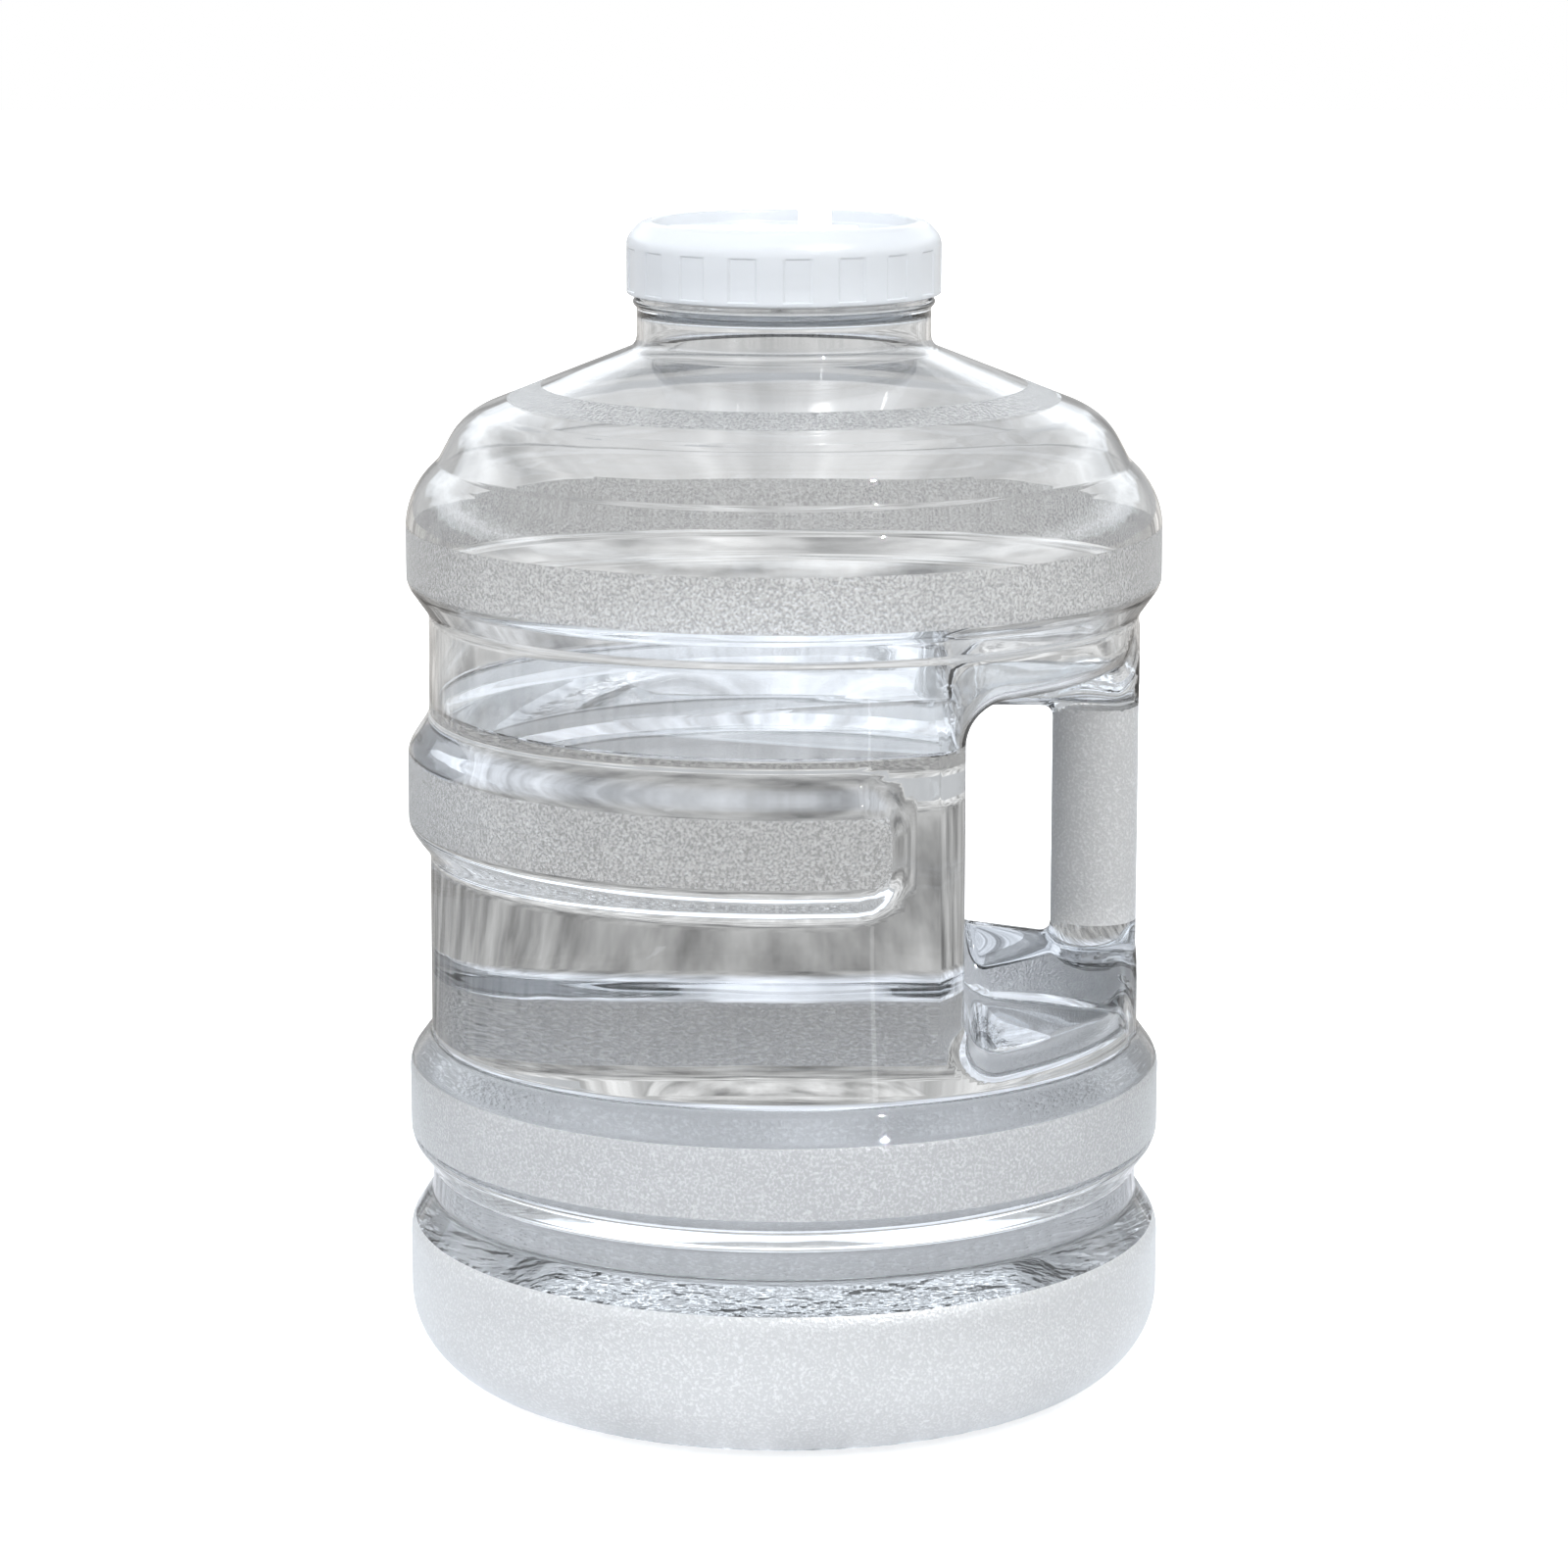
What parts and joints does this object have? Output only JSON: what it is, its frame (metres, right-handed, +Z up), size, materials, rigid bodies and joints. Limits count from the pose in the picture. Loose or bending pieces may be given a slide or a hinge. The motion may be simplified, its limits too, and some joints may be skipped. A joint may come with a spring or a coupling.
{
  "type": "large water jug",
  "caption": "Clear banded water jug with a hollow side grip in a through recess, a wide threaded neck, and a knurled screw cap with a strap stopper and pull knob.",
  "frame": {"origin": "on the jug's axis, at the plane of the foot ring it stands on", "axes": "+Z up along the jug's axis; +X from the axis towards the grip bar; the finger gap runs through along Y"},
  "size_m": [0.2114, 0.2114, 0.3274],
  "materials": {
    "clear_polycarbonate": "clear, blow-moulded, with finely pebbled bands and grip",
    "translucent_polypropylene": "milky and slightly see-through, moulded",
    "foam_liner": "soft white sealing ring",
    "white_silicone": "soft, smooth, white"
  },
  "bodies": {
    "jug": {"jug_body": "clear_polycarbonate"},
    "cap_lift": {"cap_liner": "foam_liner"},
    "cap": {"screw_cap": "translucent_polypropylene", "stopper_anchor": "white_silicone"},
    "stopper": {"stopper": "white_silicone"}
  },
  "joints": [
    {"name": "cap_rise", "type": "slide", "parent": "jug", "child": "cap_lift", "axis": [0, 0, 1], "range_m": [0, 0.0201]},
    {"name": "cap_turn", "type": "hinge", "parent": "cap_lift", "child": "cap", "pos_m": [0, 0, 0.31], "axis": [0, 0, 1], "range_deg": [0, 1600]},
    {"name": "stopper_swing", "type": "hinge", "parent": "cap", "child": "stopper", "pos_m": [-0.0235, 0, 0.3201], "axis": [0, -1, 0], "range_deg": [0, 110]}
  ],
  "couplings": [
    {"joint": "cap_rise", "follows": "cap_turn", "m_per_rad": 0.0007162}
  ]
}
